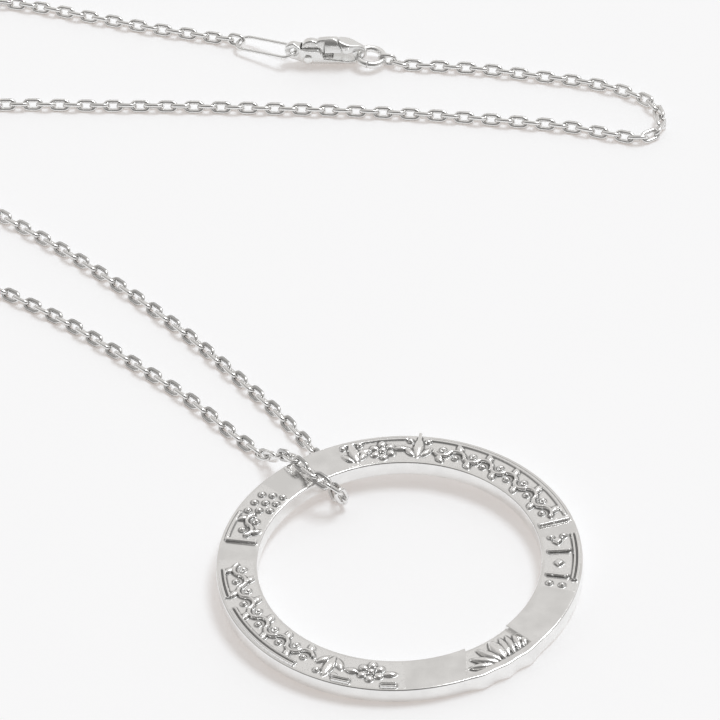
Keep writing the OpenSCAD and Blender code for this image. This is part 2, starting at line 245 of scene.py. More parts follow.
class StageSettings(bpy.types.PropertyGroup):
    """Floor and light."""

    floor: tone("Floor", "Colour of the floor", (0.742, 0.805, 0.853))
    glow: tone("Glow", "Light that shines through the floor", (0.33, 0.28, 0.25))
    sun: FloatProperty(name="Sun", description="Strength of the soft sun", default=1.12)
    sky: FloatProperty(name="Sky", description="Strength of the studio's light", default=0.72)


def add_part(bm, part, place):
    """Adds a small mesh to a larger one at its place, and frees it."""
    part.transform(place)
    mesh = bpy.data.meshes.new("part")
    part.to_mesh(mesh)
    part.free()
    bm.from_mesh(mesh)
    bpy.data.meshes.remove(mesh)


def turn(angle, axis="Z"):
    """Rotation by degrees."""
    return Matrix.Rotation(math.radians(angle), 4, axis)


def at(angle, radius, height=0.0):
    """Place at an angle round the ring, a distance from its middle and a height."""
    return turn(angle) @ Matrix.Translation((radius, 0, height))


def ring_place():
    """Where the leaning ring lies."""
    outer = mm(bpy.context.scene.necklace_ring.outer_d) / 2
    lift = Matrix.Translation((*RING_AT, outer * math.tan(math.radians(RING_TILT))))
    return lift @ turn(RING_RISE - 90) @ turn(RING_TILT, "X") @ turn(90 - RING_RISE)


def make_piece(name, bm, material, nodes=(), place=None, body=NECKLACE, sharp=35):
    """Makes a piece of a mesh in millimetres, moved to its place, that rides on a body."""
    bmesh.ops.recalc_face_normals(bm, faces=bm.faces)
    bm.transform(Matrix.Scale(MM, 4) @ (place or Matrix()))
    mesh = bpy.data.meshes.new(name)
    bm.to_mesh(mesh)
    bm.free()
    mesh.shade_smooth()
    mesh.set_sharp_from_angle(angle=math.radians(sharp))
    mesh.materials.append(material)
    piece = bpy.data.objects.new(name, mesh)
    bpy.context.scene.collection.objects.link(piece)
    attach(piece, body)
    if nodes:
        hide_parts(*nodes)
    return piece


def smoothed(bm, rounds):
    """Softens a skin, a number of times."""
    for _ in range(rounds):
        bmesh.ops.smooth_vert(
            bm, verts=bm.verts, factor=0.5, use_axis_x=True, use_axis_y=True, use_axis_z=True
        )


def fused(bm, detail, rounds):
    """Fuses overlapping shells into one skin with soft corners, as casting does."""
    mesh = bpy.data.meshes.new("casting")
    bmesh.ops.recalc_face_normals(bm, faces=bm.faces)
    bm.to_mesh(mesh)
    bm.free()
    blank = bpy.data.objects.new("casting", mesh)
    bpy.context.scene.collection.objects.link(blank)
    remesh = blank.modifiers.new("Fuse", "REMESH")
    remesh.mode = "VOXEL"
    remesh.voxel_size = detail
    skin = bpy.data.meshes.new_from_object(blank.evaluated_get(bpy.context.evaluated_depsgraph_get()))
    bpy.data.objects.remove(blank)
    bpy.data.meshes.remove(mesh)
    result = bmesh.new()
    result.from_mesh(skin)
    bpy.data.meshes.remove(skin)
    smoothed(result, rounds)
    return result


def vectors(items, name):
    """A vector that every item of a mesh has, as rows."""
    rows = np.zeros(len(items) * 3)
    items.foreach_get(name, rows)
    return rows.reshape(-1, 3)


def store(piece, name, values):
    """Stores a value from 0 to 1 at each vertex."""
    layer = piece.data.attributes.new(name, "FLOAT", "POINT")
    layer.data.foreach_set("value", np.clip(values, 0, 1).astype(np.float32))


def paint_side_shade(piece):
    """Stores how upright the skin stands at each vertex, from 0 on a top to 1 on a side, as its share of
    painted shade.
    """
    store(piece, "painted_shade", 1 - np.abs(vectors(piece.data.vertex_normals, "vector")[:, 2]))


def mark_hollows(piece, reach):
    """Stores how hollow and how crowned the skin is at each vertex, from 0 on a flat to 1."""
    mesh = piece.data
    count = len(mesh.vertices)
    points = vectors(mesh.vertices, "co")
    normals = vectors(mesh.vertex_normals, "vector")
    edges = np.zeros(len(mesh.edges) * 2, np.int64)
    mesh.edges.foreach_get("vertices", edges)
    first, second = edges.reshape(-1, 2).T
    degree = np.maximum(np.bincount(first, minlength=count) + np.bincount(second, minlength=count), 1)

    def spread(values):
        """Mean of each vertex's neighbours."""
        total = np.bincount(first, values[second], count) + np.bincount(second, values[first], count)
        return total / degree

    middle = points
    for _ in range(reach):
        middle = np.stack([spread(middle[:, axis]) for axis in range(3)], 1)
    hollow = ((middle - points) * normals).sum(1)
    deepest = np.percentile(hollow, 98)
    hollow = np.clip(hollow / max(deepest, 1e-9), -1, 1)
    for _ in range(2):
        hollow = 0.5 * hollow + 0.5 * spread(hollow)
    store(piece, "hollow", hollow)
    store(piece, "crown", -hollow)


def node_group(name, inputs, outputs):
    """Shader node group with sockets given as name, kind and default, which it returns too."""
    group = bpy.data.node_groups.new(name, "ShaderNodeTree")
    for direction, sockets in (("INPUT", inputs), ("OUTPUT", outputs)):
        for label, kind, value in sockets:
            socket = group.interface.new_socket(label, in_out=direction, socket_type=kind)
            if value is not None:
                socket.default_value = value
    return group, group.nodes.new("NodeGroupInput").outputs, group.nodes.new("NodeGroupOutput").inputs


def feed(tree, value, socket):
    """Feeds another socket's value, or a constant, to a socket."""
    if isinstance(value, bpy.types.NodeSocket):
        tree.links.new(value, socket)
    else:
        socket.default_value = value


def feed_node(tree, node, values):
    """Feeds a node's inputs by their names; returns its outputs."""
    for name, value in values.items():
        feed(tree, value, node.inputs[name])
    return node.outputs


def operation_node(tree, kind, operation, values):
    """Node of an operation on sockets or constants; returns its outputs."""
    node = tree.nodes.new(kind)
    node.operation = operation
    for value, socket in zip(values, node.inputs):
        feed(tree, value, socket)
    return node.outputs


def math_node(tree, operation, *values):
    """Output of a Math node."""
    return operation_node(tree, "ShaderNodeMath", operation, values)[0]


def vector_math(tree, operation, *values):
    """Outputs of a Vector Math node."""
    return operation_node(tree, "ShaderNodeVectorMath", operation, values)


def stored_value(tree, name):
    """Value that is stored on the mesh under a name."""
    node = tree.nodes.new("ShaderNodeAttribute")
    node.attribute_name = name
    return node.outputs["Fac"]


def map_range(tree, value, low, high, to_low, to_high):
    """Output of a Map Range node."""
    values = {"Value": value, "From Min": low, "From Max": high, "To Min": to_low, "To Max": to_high}
    return feed_node(tree, tree.nodes.new("ShaderNodeMapRange"), values)["Result"]


def noise(tree, vector, scale, detail, roughness=0.5):
    """Value of a noise texture."""
    values = {"Vector": vector, "Scale": scale, "Detail": detail, "Roughness": roughness}
    return feed_node(tree, tree.nodes.new("ShaderNodeTexNoise"), values)["Fac"]


def grain_group():
    """Fine grain of a cast surface: a height, and a mask of its small pits."""
    vector, scale = ("Vector", "NodeSocketVector", None), ("Scale", "NodeSocketFloat", 9000.0)
    outputs = [("Height", "NodeSocketFloat", None), ("Pits", "NodeSocketFloat", None)]
    group, start, end = node_group("Cast grain", [vector, scale], outputs)
    fine = noise(group, start["Vector"], start["Scale"], 3.0, 0.6)
    coarse = noise(group, start["Vector"], math_node(group, "MULTIPLY", start["Scale"], 0.23), 2.0)
    height = math_node(group, "MULTIPLY_ADD", fine, 0.7, math_node(group, "MULTIPLY", coarse, 0.3))
    feed(group, height, end["Height"])
    feed(group, map_range(group, fine, 0.36, 0.46, 1.0, 0.0), end["Pits"])
    return group


def brushing_group():
    """Faint streaks that polishing leaves across the ring's band, with a soft handling haze."""
    inputs = [
        ("Vector", "NodeSocketVector", None),
        ("Middle", "NodeSocketVector", None),
        ("Fineness", "NodeSocketFloat", 300.0),
    ]
    outputs = [("Streak", "NodeSocketFloat", None), ("Haze", "NodeSocketFloat", None)]
    group, start, end = node_group("Ring brushing", inputs, outputs)
    offset = vector_math(group, "SUBTRACT", start["Vector"], start["Middle"])["Vector"]
    length = vector_math(group, "LENGTH", offset)["Value"]
    parts = feed_node(group, group.nodes.new("ShaderNodeSeparateXYZ"), {"Vector": offset})
    angle = math_node(group, "ARCTAN2", parts["Y"], parts["X"])
    along = math_node(group, "MULTIPLY", angle, start["Fineness"])
    across = math_node(group, "MULTIPLY", length, 900.0)
    polar = feed_node(group, group.nodes.new("ShaderNodeCombineXYZ"), {"X": along, "Y": across})
    feed(group, noise(group, polar["Vector"], 1.0, 3.0, 0.62), end["Streak"])
    haze = noise(group, start["Vector"], 420.0, 3.0)
    feed(group, map_range(group, haze, 0.4, 0.68, 0.0, 1.0), end["Haze"])
    return group


def corner_group():
    """Tone of a cast skin: darker in its corners, by painted shade with some patina, and brighter on its
    rubbed crowns.
    """
    inputs = [("Strength", "NodeSocketFloat", 1.0)]
    outputs = [("Corner shade and patina", "NodeSocketFloat", None), ("Crown", "NodeSocketFloat", None)]
    group, start, end = node_group("Cast corners", inputs, outputs)
    # Painted shade with some patina: how far each hollow is darkened
    dark = map_range(group, stored_value(group, "hollow"), 0.08, 0.7, 0.0, 1.0)
    feed(group, math_node(group, "MULTIPLY", dark, start["Strength"]), end["Corner shade and patina"])
    feed(group, map_range(group, stored_value(group, "crown"), 0.05, 0.5, 0.0, 1.0), end["Crown"])
    return group


def place_group(tree, name, build, **values):
    """Outputs of a node group placed in a material; it is built the first time that it is asked for."""
    node = tree.nodes.new("ShaderNodeGroup")
    node.node_tree = bpy.data.node_groups.get(name) or build()
    return feed_node(tree, node, values)


def new_material(name, roughness, metallic=1.0):
    """New material; returns it, its tree, its shader's inputs and its object coordinates."""
    material = bpy.data.materials.new(name)
    material.use_nodes = True
    tree = material.node_tree
    surface = tree.nodes["Principled BSDF"].inputs
    surface["Metallic"].default_value = metallic
    surface["Roughness"].default_value = roughness
    return material, tree, surface, tree.nodes.new("ShaderNodeTexCoord").outputs["Object"]


def mixed_colour(tree, factor, first, second):
    """Colour between two, by a factor."""
    node = tree.nodes.new("ShaderNodeMix")
    node.data_type = "RGBA"
    feed(tree, factor, node.inputs["Factor"])
    for label, value in (("A", first), ("B", second)):
        socket = next(s for s in node.inputs if s.name == label and s.type == "RGBA")
        feed(tree, value if isinstance(value, bpy.types.NodeSocket) else (*value, 1), socket)
    return next(s for s in node.outputs if s.type == "RGBA")


def bump(tree, surface, height, distance, strength):
    """Feeds a height to the shader's normal."""
    values = {"Height": height, "Distance": distance, "Strength": strength}
    feed(tree, feed_node(tree, tree.nodes.new("ShaderNodeBump"), values)["Normal"], surface["Normal"])


def scaled(colour, factor):
    """A colour made darker or lighter."""
    return tuple(min(channel * factor, 1.0) for channel in colour)


def cast_silver(colour):
    """Ring's cast fields: grained floors, polished crowns and corners darkened by painted shade with some
    patina.
    """
    material, tree, surface, place = new_material("Cast silver", 0.4)
    grain = place_group(tree, "Cast grain", grain_group, Vector=place)
    corners = place_group(tree, "Cast corners", corner_group, Strength=0.9)
    pitted = mixed_colour(tree, grain["Pits"], colour, scaled(colour, 0.82))
    # Painted shade with some patina: the corners are darkened towards a fifth of the metal's tone.
    toned = mixed_colour(tree, corners["Corner shade and patina"], pitted, scaled(colour, 0.19))
    feed(tree, toned, surface["Base Color"])
    rough = math_node(tree, "MULTIPLY_ADD", grain["Height"], 0.16, 0.16)
    polished = math_node(tree, "MULTIPLY", corners["Crown"], -0.1)
    feed(tree, math_node(tree, "ADD", rough, polished), surface["Roughness"])
    bump(tree, surface, grain["Height"], 0.00002, 0.5)
    return material


def polished_ring_silver(colour):
    """Ring's plain panels: bright, with faint streaks across the band."""
    material, tree, surface, place = new_material("Polished silver", 0.16)
    middle = Vector((*RING_AT, 0)) * MM
    brushing = place_group(tree, "Ring brushing", brushing_group, Vector=place, Middle=middle)
    toned = mixed_colour(tree, brushing["Streak"], scaled(colour, 1.06), scaled(colour, 0.93))
    toned = mixed_colour(tree, brushing["Haze"], scaled(colour, 0.92), toned)
    feed(tree, toned, surface["Base Color"])
    rough = math_node(tree, "MULTIPLY_ADD", brushing["Streak"], 0.12, 0.08)
    hazed = math_node(tree, "MULTIPLY_ADD", brushing["Haze"], 0.08, rough)
    feed(tree, hazed, surface["Roughness"])
    bump(tree, surface, brushing["Streak"], 0.00002, 0.12)
    return material


def wire_silver(name, colour, roughness, painted_shade=1.0):
    """Polished wire and clasp metal, with fine handling marks; its last argument is the tone of the painted
    shade that darkens it where a stored share says so.
    """
    material, tree, surface, place = new_material(name, roughness)
    grain = place_group(tree, "Cast grain", grain_group, Vector=place, Scale=5200.0)
    marks = noise(tree, place, 900.0, 4.0, 0.6)
    toned = mixed_colour(tree, marks, scaled(colour, 1.05), scaled(colour, 0.88))
    # Painted shade: the colour is darkened towards that tone by the stored share, standing in for shade and
    # dark reflections.
    if painted_shade < 1:
        share = map_range(tree, stored_value(tree, "painted_shade"), 0.15, 0.75, 0.0, 1.0)
        toned = mixed_colour(tree, share, toned, scaled(colour, painted_shade))
    feed(tree, toned, surface["Base Color"])
    feed(tree, math_node(tree, "MULTIPLY_ADD", marks, 0.2, roughness - 0.1), surface["Roughness"])
    bump(tree, surface, grain["Height"], 0.00001, 0.12)
    return material


def floor_paper(colour, glow):
    """Matt white floor on a light table, with a hardly visible tooth."""
    material, tree, surface, place = new_material("Studio paper", 0.9, metallic=0.0)
    surface["Specular IOR Level"].default_value = 0.1
    surface["Emission Color"].default_value = (*glow, 1)
    surface["Emission Strength"].default_value = 1.0
    tooth = noise(tree, place, 60.0, 2.0)
    toned = mixed_colour(tree, tooth, scaled(colour, 1.004), scaled(colour, 0.996))
    feed(tree, toned, surface["Base Color"])
    return material


def rounded_section(low_r, high_r, low_z, high_z, radius, steps):
    """Corner points of a rounded rectangle in the ring's radius and height."""
    centres = [
        (high_r - radius, low_z + radius, -90),
        (high_r - radius, high_z - radius, 0),
        (low_r + radius, high_z - radius, 90),
        (low_r + radius, low_z + radius, 180),
    ]
    points = []
    for r, z, start in centres:
        for k in range(steps + 1):
            a = math.radians(start + 90 * k / steps)
            points.append((r + radius * math.cos(a), z + radius * math.sin(a)))
    return points


def edges_among(items):
    """The edges among what a mesh operator returns."""
    return [item for item in items if isinstance(item, bmesh.types.BMEdge)]


def spun_bar(bm, section, angle, sweep, steps):
    """Closed bar: a section spun round the ring's axis, with both ends filled."""
    a = math.radians(angle)
    verts = [bm.verts.new((r * math.cos(a), r * math.sin(a), z)) for r, z in section]
    first = [bm.edges.new(pair) for pair in zip(verts, verts[1:] + verts[:1])]
    spun = bmesh.ops.spin(
        bm, geom=first, axis=(0, 0, 1), cent=(0, 0, 0), angle=math.radians(sweep), steps=steps
    )
    for loop in (first, edges_among(spun["geom_last"])):
        bmesh.ops.contextual_create(bm, geom=loop)


def ramp(value, start, end):
    """Smooth rise from 0 to 1 between two values."""
    t = min(max((value - start) / (end - start), 0.0), 1.0)
    return t * t * (3 - 2 * t)


def inside(angle, a0, a1, soft):
    """How far an angle is between two others: 1 inside, 0 outside, and soft at both ends."""
    return ramp(angle, a0 - soft, a0) * (1 - ramp(angle, a1, a1 + soft))


def face_height(angle):
    """Height of the ring's face: level, but sunk in the lotus's field."""
    return RING_H - LOTUS_DEPTH * inside(angle, FIELDS["lotus"][0], FIELDS["lotus"][1] - 0.4, 0.5)


def slant(angle, r, z):
    """Degrees by which the face's grid leans, so that it follows the lotus field's slanting side."""
    if z < RING_H / 2:
        return 0.0
    lean = ramp(angle, *SLANT_START) * (1 - ramp(angle, *SLANT_END))
    return SLANT * ramp(LOTUS_RIM - r, -0.4, 4.4) * lean


def back_height(angle):
    """Height of the ring's back, which is recessed behind each field."""
    return BACK_DEPTH * max(inside(angle, a0, a1, -0.4) for a0, a1 in FIELDS.values())


def wall_swell(angle):
    """How far the lobes swell the outer wall at an angle."""
    return LOBE_OUT * sum(math.exp(-((angle - middle) / LOBE_SPREAD) ** 2) for middle in LOBES)


def ring_section(ring, angle):
    """The ring's own section at an angle, from its outer foot over its face to its inner foot."""
    low_r, high_r = mm(ring.inner_d) / 2, mm(ring.outer_d) / 2
    edge = mm(ring.edge_round)
    foot = back_height(angle)
    swell = wall_swell(angle)
    high, low = high_r - edge, low_r + edge
    top = face_height(angle)
    sunk = (RING_H - top) / LOTUS_DEPTH
    quarter = [(edge * math.cos(a), edge * math.sin(a)) for a in (math.radians(18 * k) for k in range(6))]
    points = [(high + y + swell, foot + edge - x) for x, y in quarter]
    points += [(high_r + swell * share, height) for height, share in LOBE_SHARES]
    points += [(high + x + swell * LOBE_EDGE, RING_H - edge + y) for x, y in quarter]
    points += [(high - 0.03, RING_H), (LOTUS_RIM + 0.06, RING_H), (LOTUS_RIM + 0.02, RING_H - 0.02 * sunk)]
    points += [(r, top) for r in (LOTUS_RIM - 0.03, *FACE_GRID, low + 0.03)]
    points += [(low - y, top - edge + x) for x, y in quarter]
    points += [(low - x, foot + edge - y) for x, y in quarter]
    return points


def ring_body(bm, ring):
    """The whole ring without its relief."""
    angles = {float(a) for a in range(360)}
    angles |= {FINE_GRID[0] + k / 4 for k in range(4 * (FINE_GRID[1] - FINE_GRID[0]))}
    angles |= {(a + side) % 360 for pair in FIELDS.values() for a in pair for side in (-0.2, 0.2)}
    loops = []
    for angle in sorted(angles):
        places = [
            (r, math.radians(angle + slant(angle, r, z)), z) for r, z in ring_section(ring, angle)
        ]
        verts = [bm.verts.new((r * math.cos(a), r * math.sin(a), z)) for r, a, z in places]
        loops.append([bm.edges.new((verts[k - 1], verts[k])) for k in range(len(verts))])
    for before, after in zip(loops, loops[1:] + loops[:1]):
        bmesh.ops.bridge_loops(bm, edges=before + after)


def arc_stroke(bm, place, radius, half, width, base, top):
    """Half-round raised stroke along an arc that bulges towards the place's X."""
    section = [(radius + width / 2, base - ROOT)]
    section += [
        (radius + width / 2 * math.cos(a), base + (top - base) * math.sin(a) ** 0.8)
        for a in (math.radians(18 * k) for k in range(11))
    ]
    section.append((radius - width / 2, base - ROOT))
    stroke = bmesh.new()
    spun_bar(stroke, section, -half, 2 * half, 14)
    add_part(bm, stroke, place)


def bead(bm, place, radius, squash=1.0):
    """Round bead on a field's floor."""
    matrix = place @ Matrix.Diagonal((1, 1, squash, 1))
    bmesh.ops.create_icosphere(bm, subdivisions=3, radius=radius, matrix=matrix)


def leaf(bm, place, length, width, height):
    """Pointed leaf along the place's X, crowned along its middle."""
    blade = bmesh.new()
    poles = turn(90, "Y")
    bmesh.ops.create_uvsphere(blade, u_segments=20, v_segments=14, radius=1, matrix=poles)
    for vert in blade.verts:
        slim = math.sqrt(max(0.0, 1 - vert.co.x ** 2))
        vert.co.y *= slim
        vert.co.z *= slim ** 0.5
    add_part(bm, blade, place @ Matrix.Diagonal((length / 2, width / 2, height, 1)))


def curved_bar(bm, a0, a1, low_r, high_r, base, top, radius, steps):
    """Raised bar round the band between two angles and two radii, with rounded corners."""
    section = rounded_section(low_r, high_r, base - ROOT, top, radius, steps)
    spun_bar(bm, section, a0, a1 - a0, max(4, round((a1 - a0) / 2)))


def rail(bm, a0, a1, base, top):
    """Double rail near the outer edge, with a groove between its two lines."""
    outer_in = RAIL_IN + 2 * RAIL_W - 0.06
    curved_bar(bm, a0, a1, RAIL_IN, RAIL_IN + RAIL_W, base, top, 0.1, 3)
    curved_bar(bm, a0, a1, outer_in, outer_in + RAIL_W, base, top - 0.04, 0.1, 3)
    curved_bar(bm, a0, a1, RAIL_IN + 0.1, outer_in + 0.1, base, base + 0.12, 0.05, 2)


def edge_line(bm, a0, a1, base, top):
    """Single line near the outer edge, half as high as the relief."""
    curved_bar(bm, a0, a1, LINE_IN, LINE_IN + LINE_W, base, (base + top) / 2, 0.12, 3)


def bar(bm, place, length, width, base, top):
    """Straight raised bar along the place's X, with rounded edges."""
    block = bmesh.new()
    middle = Matrix.Translation((0, 0, (base + top) / 2 - ROOT))
    shape = middle @ Matrix.Diagonal((length, width, top - base + 2 * ROOT, 1))
    bmesh.ops.create_cube(block, size=1, matrix=shape)
    bmesh.ops.bevel(
        block, geom=block.edges[:], offset=0.09, segments=2, profile=0.5, affect="EDGES", material=-1
    )
    add_part(bm, block, place)


def vine(bm, ring, a0, a1, count, base, top):
    """Winding vine with a berry in each bow and a leaf on its back."""
    step = (a1 - a0) / count
    radius = VINE_R * math.radians(step) / 2 / math.sin(math.radians(BOW_HALF)) * 1.03
    bow_in = radius * math.cos(math.radians(BOW_HALF))
    rise = radius - bow_in
    for k in range(count):
        side = 1 if k % 2 == 0 else -1
        mid = a0 + (k + 0.5) * step
        facing = turn(0 if side > 0 else 180)
        arc_stroke(
            bm, at(mid, VINE_R - side * bow_in) @ facing, radius, BOW_HALF, mm(ring.stroke_w), base, top
        )
        bead(bm, at(mid, VINE_R - side * 0.5, base + 0.06), mm(ring.bead_r))
        leaf(bm, at(mid, VINE_R + side * (rise + 0.5), base) @ turn(38), 1.45, 0.78, 0.36)


def rosette(bm, angle, base):
    """Round flower with a leaf at each side."""
    bead(bm, at(angle, 17.5, base + 0.04), 0.4)
    for k in range(6):
        petal = at(angle, 17.5, base) @ turn(60 * k) @ Matrix.Translation((1.02, 0, 0))
        bead(bm, petal @ Matrix.Diagonal((1.15, 1, 1, 1)), 0.44, 0.8)
    for side in (-1, 1):
        spray = at(angle, 17.5, base) @ Matrix.Translation((0.1, side * 2.05, 0)) @ turn(side * 100)
        leaf(bm, spray, 1.75, 0.8, 0.36)


def bud(bm, ring, angle, base):
    """Bud between two leaves and two beads."""
    leaf(bm, at(angle, 17.9, base), 3.4, 1.15, 0.4)
    for side in (-1, 1):
        spray = at(angle, 17.2, base) @ Matrix.Translation((0, side * 0.95, 0)) @ turn(side * 38)
        leaf(bm, spray, 1.95, 0.75, 0.34)
        bead(bm, at(angle, 18.9, base + 0.04) @ Matrix.Translation((0, side, 0)), mm(ring.bead_r))


def lotus(bm):
    """Lotus that opens towards the ring's middle."""
    base = RING_H - LOTUS_DEPTH
    for start, turned, length, width, height in PETALS:
        foot = at(LOTUS_AT + start, LOTUS_RIM, base) @ turn(180 - turned)
        leaf(bm, foot @ Matrix.Translation((length / 2, 0, 0)), length, width, height)


def floor_slab(bm, a0, a1, top):
    """Thin slab that the relief of a field is cast on, sunk into the ring's face."""
    section = rounded_section(15.74, 19.78, top - 0.3, top + 0.008, 0.02, 1)
    spun_bar(bm, section, a0, a1 - a0, round((a1 - a0) / 1.5))


def back_studs(bm, a0, a1):
    """Low round studs on the back of a field."""
    count = round((a1 - a0) / STUD_STEP)
    for k in range(count):
        stud = at(a0 + (a1 - a0) * (k + 0.5) / count, 17.75, 0.25)
        bmesh.ops.create_cone(
            bm, cap_ends=True, segments=32, radius1=STUD_FOOT_R, radius2=STUD_R, depth=0.36, matrix=stud
        )


def relief(bm, ring, field):
    """Raised ornament of one field."""
    base = RING_H
    top = RING_H + mm(ring.relief_h)
    if field == "right_vine":
        bar(bm, at(14, BAR_R), 3.5, 0.46, base, top)
        vine(bm, ring, 17, 74, 10, base, top)
        bar(bm, at(80, EDGE_BAR_R), 2, 0.42, base, top)
        bud(bm, ring, 80, base)
        rosette(bm, 93, base)
        bud(bm, ring, 103.5, base)
        edge_line(bm, 16, 76.5, base, top - 0.04)
        edge_line(bm, 84, 106, base, top - 0.04)
    elif field == "upper_left":
        for angle in (140, 144.5, 149):
            for radius in THREE_BEADS:
                bead(bm, at(angle + (radius - VINE_R) * 1.5, radius, base + 0.04), mm(ring.bead_r) * 1.05)
        vine(bm, ring, 152, 163, 2, base, top)
        bar(bm, at(166, BAR_R), 3.5, 0.42, base, top)
        edge_line(bm, 152, 165, base, top - 0.04)
    elif field == "left_vine":
        vine(bm, ring, 178, 235, 10, base, top)
        bud(bm, ring, 242, base)
        rosette(bm, 257, base)
        for a0, a1 in ((180, 193.5), (198.5, 231.5), (245, 251), (261, 266)):
            rail(bm, a0, a1, base, top)
    elif field == "lotus":
        lotus(bm)
    else:
        for angle in (346.5, 359):
            bar(bm, at(angle, 17.4), 2.5, 0.42, base, top)
        for angle in (352.8, 364):
            square = at(angle, 17.4, base + 0.1) @ turn(45)
            bmesh.ops.create_cone(
                bm, cap_ends=True, segments=4, radius1=0.7, radius2=0.42, depth=0.55,
                matrix=square @ turn(45),
            )
        for angle in (342, 366.5):
            for radius in TWO_BEADS:
                bead(bm, at(angle, radius, base + 0.04), mm(ring.bead_r) * 1.05)
        rail(bm, 345, 367, base, top)


def oval_wire(bm, length, width, wire, arc_steps, sides):
    """Closed oval of wire, lying flat with its length along X."""
    radius = (width - wire) / 2
    half = (length - width) / 2
    upright = Matrix.Translation((half, -radius, 0)) @ turn(90, "Y")
    start = bmesh.ops.create_circle(bm, segments=sides, radius=wire / 2, matrix=upright)
    first = list({edge for vert in start["verts"] for edge in vert.link_edges})
    loop = first
    for side in (1, -1):
        spun = bmesh.ops.spin(
            bm, geom=loop, axis=(0, 0, 1), cent=(side * half, 0, 0), angle=math.pi, steps=arc_steps
        )
        loop = edges_among(spun["geom_last"])
        if side > 0 and half > 0:
            straight = bmesh.ops.extrude_edge_only(bm, edges=loop)["geom"]
            verts = [item for item in straight if isinstance(item, bmesh.types.BMVert)]
            bmesh.ops.translate(bm, verts=verts, vec=(-2 * half, 0, 0))
            loop = [edge for edge in edges_among(straight) if all(vert in verts for vert in edge.verts)]
    bmesh.ops.bridge_loops(bm, edges=loop + first)


def wire_piece(node, shape, steps, material, place):
    """Piece that is one closed oval of wire: length, width and wire, and steps along and round it."""
    bm = bmesh.new()
    oval_wire(bm, *shape, *steps)
    make_piece(f"{node}_wire", bm, material, (node,), place, sharp=180)


def unit(vector):
    """The vector at a length of 1."""
    return vector / np.linalg.norm(vector)


def route_curve(points, per_step):
    """Smooth curve through the route's points, as many short steps."""
    points = [np.array(point, float) for point in points]
    lengths = [np.linalg.norm(b - a) for a, b in zip(points, points[1:])]
    slopes = [unit(points[1] - points[0])]
    for i in range(1, len(points) - 1):
        before, after = lengths[i - 1], lengths[i]
        back, ahead = points[i] - points[i - 1], points[i + 1] - points[i]
        slopes.append(unit(back / before * after + ahead / after * before))
    slopes.append(unit(points[-1] - points[-2]))
    curve = []
    for i, length in enumerate(lengths):
        for k in range(per_step):
            t = k / per_step
            u = 1 - t
            curve.append(
                points[i] * u * u * (1 + 2 * t) + points[i + 1] * t * t * (3 - 2 * t)
                + slopes[i] * length * t * u * u - slopes[i + 1] * length * t * t * u
            )
    curve.append(points[-1])
    return np.array(curve)


def link_seat(end_link, chain):
    """Point where the chain's nearest link hangs in one of the wider links."""
    reach = mm(chain.end_l) / 2 - mm(chain.wire)
    a = math.radians(end_link["turn"])
    x, y = end_link["at"]
    side = end_link["end"]
    return (x + side * reach * math.cos(a), y + side * reach * math.sin(a), LOW + 0.12)


def joints_along(curve, pitch):
    """Points at equal distances along the curve, at the pitch that fits it best."""
    steps = np.linalg.norm(np.diff(curve, axis=0), axis=1)
    along = np.concatenate([[0], np.cumsum(steps)])
    count = round(along[-1] / pitch)
    places = np.linspace(0, along[-1], count + 1)
    return np.stack([np.interp(places, along, curve[:, axis]) for axis in range(3)], 1)


def link_frames(joints):
    """Middle, heading, side and up of each link; sides are carried along without sudden twist."""
    headings = [unit(b - a) for a, b in zip(joints, joints[1:])]
    middles = (joints[:-1] + joints[1:]) / 2
    level = [unit(np.cross((0, 0, 1), heading)) for heading in headings]
    carried = [level[0]]
    for heading in headings[1:]:
        carried.append(unit(carried[-1] - heading * np.dot(heading, carried[-1])))
    last = headings[-1]
    gap = math.atan2(np.dot(np.cross(carried[-1], level[-1]), last), np.dot(carried[-1], level[-1]))
    lifted = [i for i, middle in enumerate(middles) if middle[2] > LOW + LIFTED]
    lifted = [i for i in lifted if LEVEL_ENDS < i < len(middles) - LEVEL_ENDS]
    begin, finish = lifted[0] - 3, lifted[-1] + 3
    frames = []
    for i, (middle, heading) in enumerate(zip(middles, headings)):
        share = min(max((i - begin) / (finish - begin), 0.0), 1.0)
        a = gap * share
        side = carried[i] * math.cos(a) + np.cross(heading, carried[i]) * math.sin(a)
        frames.append((middle, heading, side, np.cross(heading, side)))
    return frames


def chain_links(bm, chain):
    """Every link of the chain, leaning to either side in turn; returns each vertex's share of painted
    shade.
    """
    points = [link_seat(RING_LINK, chain)] + ROUTE + [link_seat(END_LINK, chain)]
    joints = joints_along(route_curve(points, 24), mm(chain.pitch))
    one_link = bmesh.new()
    oval_wire(one_link, mm(chain.link_l), mm(chain.link_w), mm(chain.wire), 6, 6)
    # Painted shade: a link is darkened on its long sides and left bright at its bends
    reach = mm(chain.link_l) / 2 - mm(chain.wire)
    flank = [ramp(abs(vert.co.x), reach + 0.25, reach - 0.2) for vert in one_link.verts]
    painted_shade = []
    frames = link_frames(joints)
    for i, (middle, heading, side, up) in enumerate(frames):
        lean = -LINK_LEAN if (len(frames) - i) % 2 else LINK_LEAN
        lean = math.copysign(FIRST_LEAN, lean) if i == 0 else lean + LEAN_WAVER * math.sin(12.9 * i)
        axes = Matrix(np.array([heading, side, up]).T.tolist()).to_4x4()
        place = Matrix.Translation(middle) @ axes @ turn(lean, "X")
        facing = place.to_3x3() @ Vector((0, 0, 1))
        # Painted shade is stronger on links whose faces turn towards -Y, the camera's side, and fades out
        # towards the far links along Y
        facing_shade = ramp(-facing.y * math.copysign(1, facing.z), -0.25, 0.35) * ramp(middle[1], *PAINTED_SHADE_Y)
        painted_shade += [value * (0.1 + 0.65 * facing_shade) for value in flank]
        add_part(bm, one_link.copy(), place)
    one_link.free()
    for vert in bm.verts:
        vert.co.z = max(vert.co.z, 0.0)
    return painted_shade


def clasp_place():
    """Where the clasp stands."""
    return Matrix.Translation((*CLASP_AT, 0)) @ turn(CLASP_TURN)


